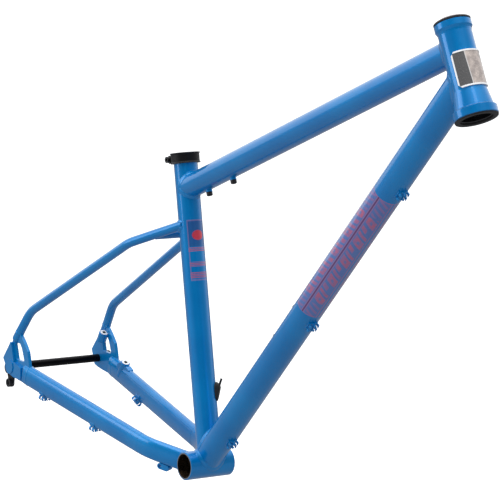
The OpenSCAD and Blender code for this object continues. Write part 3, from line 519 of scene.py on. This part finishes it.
steer_axis = (HEAD_BOTTOM, HEAD_UP)
axle_axis = (AXLE, LEFT)
looks = {
    "blue_paint": paint("blue_paint"),
    # bearing_steel is painted much darker than bright bearing steel: painted shade for bearings that sit in
    # the shade of the headset cups.
    "bearing_steel": metal("bearing_steel", linear(84, 85, 88), 0.3, steer_axis, 0.01),
    "black_alloy": anodised("black_alloy", linear(26, 26, 29)),
    "grey_alloy": metal("grey_alloy", linear(150, 152, 156), 0.36, steer_axis),
    "black_steel": anodised("black_steel", linear(24, 23, 24), 0.3),
    "black_rubber": rubber("black_rubber"),
    "badge_metal": badge_material(),
}
own_looks = {
    "bottom_bracket_shell": paint("paint_shell", shell_overlay),
    "head_tube": paint("paint_head", head_overlay),
    "seat_tube": paint("paint_seat", seat_overlay),
    "down_tube": paint("paint_down", down_overlay),
    "brake_post_upper": post_look("post_upper", POST_UPPER),
    "brake_post_lower": post_look("post_lower", POST_LOWER),
    "compression_ring": metal("ring_grey", linear(206, 196, 196), 0.5, steer_axis, 0.02, metallic=0.2),
    "thru_axle": metal("axle_black", linear(34, 33, 35), 0.24, axle_axis, 0.012, linear(16, 16, 17)),
}
slots = {entry["node"]: entry["material_slot"] for entry in frame["record"]["subparts"]}
for name, node in nodes.items():
    node.data.materials.clear()
    node.data.materials.append(own_looks[name] if name in own_looks else looks[slots[name]])


# ---------------------------------------------------------------- weld beads
def circle_section(radius, count):
    """Points and outward normals round a circle, in the tube's two cross directions."""
    turn = [2 * math.pi * i / count for i in range(count)]
    return [(radius * math.cos(a), radius * math.sin(a), math.cos(a), math.sin(a)) for a in turn]


def oval_section(count):
    """The same round a chainstay's section: two end circles joined by long side arcs."""
    inset = CHAIN_SIDE_R - CHAIN_W / 2
    points = []
    for i in range(count):
        a = 2 * math.pi * i / count
        c, s = math.cos(a), math.sin(a)
        under = CHAIN_END_R**2 - (CHAIN_END_AT * c) ** 2
        end = abs(s) * CHAIN_END_AT + math.sqrt(under) if under > 0 else 0.0
        side = math.sqrt(CHAIN_SIDE_R**2 - (inset * s) ** 2) - abs(c) * inset
        if abs(side * s) < CHAIN_SIDE_H and side > end:
            normal = Vector((side * c + math.copysign(inset, c), side * s)).normalized()
            points.append((side * c, side * s, normal.x, normal.y))
        else:
            normal = Vector((end * c, end * s - math.copysign(CHAIN_END_AT, s))).normalized()
            points.append((end * c, end * s, normal.x, normal.y))
    return points


def slope_of(shape, p):
    """Outward normal of a shape at a point, from its distance in three directions."""
    step = 0.05
    steps = [step * Vector(axis) for axis in ((1, 0, 0), (0, 1, 0), (0, 0, 1))]
    return Vector([shape.gap(p + v) - shape.gap(p - v) for v in steps]).normalized()


def seam(start, way, section, first, second, shape, reach):
    """Where a tube's outside meets a shape, for each point of its section.

    A hit is (point, tube normal, shape normal), and None stands where the tube misses the shape.
    """
    found = []
    for u, v, nu, nv in section:
        p = start + u * first + v * second
        near, far = None, 0.0
        steps = int(reach)
        for k in range(steps + 1):
            if shape.gap(p + k * way) < 0:
                near, far = k - 1.0, float(k)
                break
        if near is None or near < 0:
            found.append(None)
            continue
        for _ in range(14):
            half = (near + far) / 2
            if shape.gap(p + half * way) < 0:
                far = half
            else:
                near = half
        hit = p + far * way
        found.append((hit, nu * first + nv * second, slope_of(shape, hit)))
    return found


# How far a bead's edges sink into the metal and how deep its hidden bed lies, in mm
BEAD_SINK = 0.06
BEAD_BED = 0.5
BEAD_POINTS = 7
RIPPLE_PITCH = 2.3


def ripple(distance):
    """The scallops that a welder's dabs leave."""
    return abs(math.sin(math.pi * distance / RIPPLE_PITCH))


def sweep(name, rings, closed):
    """A closed painted mesh on the frame, from rings of points. An open run gets a cap at each end."""
    mesh = bmesh.new()
    rows = [[mesh.verts.new(p * MM) for p in ring] for ring in rings]
    count = len(rows[0])
    last = len(rows) if closed else len(rows) - 1
    for i in range(last):
        a, b = rows[i], rows[(i + 1) % len(rows)]
        for j in range(count):
            k = (j + 1) % count
            mesh.faces.new((a[j], a[k], b[k], b[j]))
    if not closed:
        mesh.faces.new(rows[0])
        mesh.faces.new(rows[-1][::-1])
    bmesh.ops.recalc_face_normals(mesh, faces=mesh.faces)
    data = bpy.data.meshes.new(name)
    mesh.to_mesh(data)
    mesh.free()
    for polygon in data.polygons:
        polygon.use_smooth = True
    piece = bpy.data.objects.new(name, data)
    bpy.context.scene.collection.objects.link(piece)
    data.materials.append(looks["blue_paint"])
    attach(piece, "frame")
    return piece


def bead_ring(p, tube_normal, shape_normal, leg, swell):
    """Section of a fillet weld in the corner between a tube and a shape."""
    on_shape = (tube_normal - tube_normal.dot(shape_normal) * shape_normal).normalized()
    on_tube = (shape_normal - shape_normal.dot(tube_normal) * tube_normal).normalized()
    a = p + leg * on_shape - BEAD_SINK * shape_normal
    b = p + leg * on_tube - BEAD_SINK * tube_normal
    crown = p + leg * swell * (on_shape + on_tube)
    ring = []
    for i in range(BEAD_POINTS):
        t = i / (BEAD_POINTS - 1)
        ring.append((1 - t) ** 2 * a + 2 * t * (1 - t) * crown + t**2 * b)
    ring.append(b - BEAD_BED * tube_normal)
    ring.append(p - BEAD_BED * (tube_normal + shape_normal))
    ring.append(a - BEAD_BED * shape_normal)
    return ring


def weld(name, found, leg=3.4, swell=0.52):
    """A bead along a seam. Where the tube misses the shape, the bead stops."""
    hits = [f for f in found if f]
    closed = len(hits) == len(found)
    if not closed:
        gap = max(i for i, f in enumerate(found) if f is None and found[(i + 1) % len(found)])
        turned = found[gap + 1 :] + found[: gap + 1]
        hits = []
        for f in turned:
            if f is None:
                break
            hits.append(f)
    distance = 0.0
    rings = []
    for i, (p, tube_normal, shape_normal) in enumerate(hits):
        if i:
            distance += (p - hits[i - 1][0]).length
        taper = 1.0 if closed else min(1.0, 0.25 + min(i, len(hits) - 1 - i) / 10)
        size = leg * taper
        rings.append(bead_ring(p, tube_normal, shape_normal, size, swell + 0.045 * ripple(distance)))
    return sweep(name, rings, closed)


def butt_weld(name, centre, way, section, first, second, leg=2.6, crown=0.9):
    """A low bead round the joint of two pieces with the same section."""
    rings = []
    distance = 0.0
    before = None
    for u, v, nu, nv in section:
        p = centre + u * first + v * second
        normal = nu * first + nv * second
        distance += (p - before).length if before else 0.0
        before = p
        high = crown * (1.5 + 0.12 * ripple(distance))
        a, b = p - leg * way, p + leg * way
        ring = []
        for i in range(BEAD_POINTS):
            t = i / (BEAD_POINTS - 1)
            over = (1 - t) ** 2 * a + 2 * t * (1 - t) * (p + high * normal) + t**2 * b
            ring.append(over - BEAD_SINK * normal)
        ring.append(b - 0.6 * normal)
        ring.append(a - 0.6 * normal)
        rings.append(ring)
    return sweep(name, rings, True)


def cross_ways(way, hint=LEFT):
    first = (hint - hint.dot(way) * way).normalized()
    return first, way.cross(first)


def tube_weld(name, tube, shape, from_s, way_sign, count=300, **size):
    """Bead where a round tube, followed from a point on its axis, meets a shape."""
    way = tube.way * way_sign
    first, second = cross_ways(tube.way)
    found = seam(tube.at(from_s), way, circle_section(tube.radius, count), first, second, shape, 140)
    return weld(name, found, **size)


def mirrored(v):
    return Vector((v[0], -v[1], v[2]))


def chain_point(x, y, z=0.0):
    """A point given in the chainstays' plane."""
    c, s = math.cos(CHAIN_PITCH), math.sin(CHAIN_PITCH)
    return Vector((x * c + z * s, y, -x * s + z * c + CHAIN_DROP))


tube_weld("weld_top_to_seat", top, seat, 120, -1)
tube_weld("weld_top_to_head", top, head, top.length - 120, 1)
tube_weld("weld_down_to_head", down, head, down.length - 120, 1)
tube_weld("weld_down_to_shell", down, shell, 120, -1)
tube_weld("weld_seat_to_shell", seat, Joined(shell, down), 120, -1)
for side, flip in (("left", Vector), ("right", mirrored)):
    path = [flip(p) for p in STAY_PATH]
    upper = Tube(path[2], path[3], STAY_R)
    tube_weld(f"weld_seatstay_{side}", upper, seat, 30, 1, 160, leg=2.4)
    low_way = (path[1] - path[0]).normalized()
    ring = circle_section(STAY_R, 120)
    across, over = cross_ways(low_way)
    butt_weld(f"weld_seatstay_dropout_{side}", path[0], low_way, ring, across, over, leg=2.0, crown=0.6)
    bridge_end = upper.at(0.5 * upper.length) + Vector((0, 0, -2))
    bridge = Tube((bridge_end.x, 0, bridge_end.z), (bridge_end.x, bridge_end.y, bridge_end.z), BRIDGE_R)
    tube_weld(f"weld_bridge_{side}", bridge, upper, 2, 1, 120, leg=1.9)
    rear, bend, front = (flip(chain_point(*p)) for p in (CHAIN_REAR, CHAIN_BEND, CHAIN_FRONT))
    way = (front - bend).normalized()
    flat = flip(chain_point(0, 1) - chain_point(0, 0))
    upright = chain_point(0, 0, 1) - chain_point(0, 0)
    first = (flat - flat.dot(way) * way).normalized()
    oval = oval_section(300)
    found = seam(bend + 20 * way, way, oval, first, upright, shell, 80)
    weld(f"weld_chainstay_{side}", found, leg=2.8)
    way = (bend - rear).normalized()
    first = (flat - flat.dot(way) * way).normalized()
    butt_weld(f"weld_chainstay_dropout_{side}", rear, way, oval, first, upright, leg=2.2, crown=0.6)


# ---------------------------------------------------------------- shell threads
def thread(name, radius, pitch, from_y, to_y, depth, hand):
    """A helical ridge inside the shell, drawn along Y."""
    turns = abs(to_y - from_y) / pitch
    count = int(turns * 56)
    rings = []
    for i in range(count + 1):
        share = i / count
        a = hand * 2 * math.pi * turns * share
        y = from_y + (to_y - from_y) * share
        out = Vector((math.cos(a), 0, math.sin(a)))
        fade = min(1.0, 0.05 + min(i, count - i) / 30)
        ring = []
        for dy, dr in ((-0.46, -0.12), (-0.1, depth * fade), (0.1, depth * fade), (0.46, -0.12)):
            ring.append(out * (radius - dr) + Vector((0, y + dy * pitch, 0)))
        rings.append(ring)
    piece = sweep(name, rings, False)
    piece.data.materials[0] = own_looks["bottom_bracket_shell"]
    return piece


thread("shell_thread_right", SHELL_BORE_R, 1.06, -SHELL_HALF + 1.0, -SHELL_HALF + 27, 0.32, -1)
thread("shell_thread_left", SHELL_BORE_R, 1.06, SHELL_HALF - 1.0, SHELL_HALF - 27, 0.32, 1)


# ---------------------------------------------------------------- floor, light and camera
VIEW_AZIMUTH = math.radians(34.375)
VIEW_ELEVATION = math.radians(9.327)
VIEW_ROLL = math.radians(2.072)
VIEW_TARGET = Vector((-12.6, 69.5, 301.9)) * MM
VIEW_DISTANCE = 3790.65 * MM
LENS = 193.02
FLOOR_DROP = 0.34

to_camera = Vector((
    math.cos(VIEW_ELEVATION) * math.cos(VIEW_AZIMUTH),
    -math.cos(VIEW_ELEVATION) * math.sin(VIEW_AZIMUTH),
    math.sin(VIEW_ELEVATION),
))


def floor():
    """A pale plain floor, which is darker to everything but the camera so that it doesn't flood the paint."""
    data = bpy.data.meshes.new("floor")
    half = 40.0
    z = cad_box[0][2] - FLOOR_DROP
    corners = [(-half, -half, z), (half, -half, z), (half, half, z), (-half, half, z)]
    data.from_pydata(corners, [], [(0, 1, 2, 3)])
    piece = bpy.data.objects.new("floor", data)
    bpy.context.scene.collection.objects.link(piece)
    material, tree, shader = new_material("floor_white")
    seen = Field(tree, tree.nodes.new("ShaderNodeLightPath").outputs["Is Camera Ray"])
    pale = mix(tree, noise(tree, 3, 2), (0.86, 0.86, 0.86), (0.84, 0.84, 0.85))
    set_input(tree, shader, "Base Color", mix(tree, seen, (0.30, 0.30, 0.31), pale))
    set_input(tree, shader, "Roughness", 0.9)
    set_input(tree, shader, "Specular IOR Level", 0.0)
    set_input(tree, shader, "Emission Color", (1.0, 1.0, 1.0))
    set_input(tree, shader, "Emission Strength", seen * 0.5)
    data.materials.append(material)


def world():
    """A white studio. Reflections see it bright behind the object and overhead, and dark round the camera."""
    scene = bpy.context.scene
    scene.world = bpy.data.worlds.new("studio")
    scene.world.use_nodes = True
    tree = scene.world.node_tree
    where = tree.nodes.new("ShaderNodeTexCoord").outputs["Generated"]
    split = tree.nodes.new("ShaderNodeSeparateXYZ")
    tree.links.new(where, split.inputs[0])
    xyz = [Field(tree, split.outputs[i]) for i in range(3)]
    toward = dot(xyz, to_camera)
    diffuse = xyz[2].above(0.3, 0.7) * 0.5 + 0.5
    behind = toward.below(-0.1, 0.5) * 0.85
    overhead = xyz[2].above(0.75, 0.2) * 0.9
    around = toward.below(0.75, 0.2) * 0.14
    mirror = behind + overhead + around + 0.03
    is_mirror = Field(tree, tree.nodes.new("ShaderNodeLightPath").outputs["Is Glossy Ray"])
    strength = diffuse + (mirror - diffuse) * is_mirror
    background = tree.nodes["Background"]
    background.inputs["Color"].default_value = (0.97, 0.985, 1.0, 1.0)
    tree.links.new(strength.socket, background.inputs["Strength"])


def softbox(name, where, aim, size, power, mirrored_in_paint=True):
    data = bpy.data.lights.new(name, "AREA")
    data.shape = "RECTANGLE"
    data.size, data.size_y = size
    data.energy = power
    lamp = bpy.data.objects.new(name, data)
    bpy.context.scene.collection.objects.link(lamp)
    lamp.visible_glossy = mirrored_in_paint
    lamp.location = Vector(where)
    lamp.rotation_euler = (Vector(aim) - Vector(where)).to_track_quat("-Z", "Y").to_euler()


def camera():
    data = bpy.data.cameras.new("camera")
    data.sensor_width = 36.0
    data.lens = LENS
    data.shift_x = 0.00155
    data.shift_y = -0.00303
    data.clip_end = 200.0
    piece = bpy.data.objects.new("camera", data)
    bpy.context.scene.collection.objects.link(piece)
    level = Vector((math.sin(VIEW_AZIMUTH), math.cos(VIEW_AZIMUTH), 0))
    up = to_camera.cross(level)
    c, s = math.cos(VIEW_ROLL), math.sin(VIEW_ROLL)
    right, rolled = c * level + s * up, c * up - s * level
    piece.matrix_world = Matrix((
        (right.x, rolled.x, to_camera.x, 0),
        (right.y, rolled.y, to_camera.y, 0),
        (right.z, rolled.z, to_camera.z, 0),
        (0, 0, 0, 1),
    ))
    piece.location = VIEW_TARGET + VIEW_DISTANCE * to_camera
    bpy.context.scene.camera = piece


floor()
world()
softbox("top", (0.2, -0.4, 3.0), (0.0, 0.0, 0.3), (3.2, 2.4), 34)
softbox("front", (2.6, -2.2, 1.5), (0.0, 0.0, 0.3), (1.2, 2.4), 24, False)
softbox("side", (-1.6, -2.6, 1.2), (0.0, 0.0, 0.3), (1.6, 2.2), 20)
camera()
bpy.context.scene.view_settings.view_transform = "Standard"
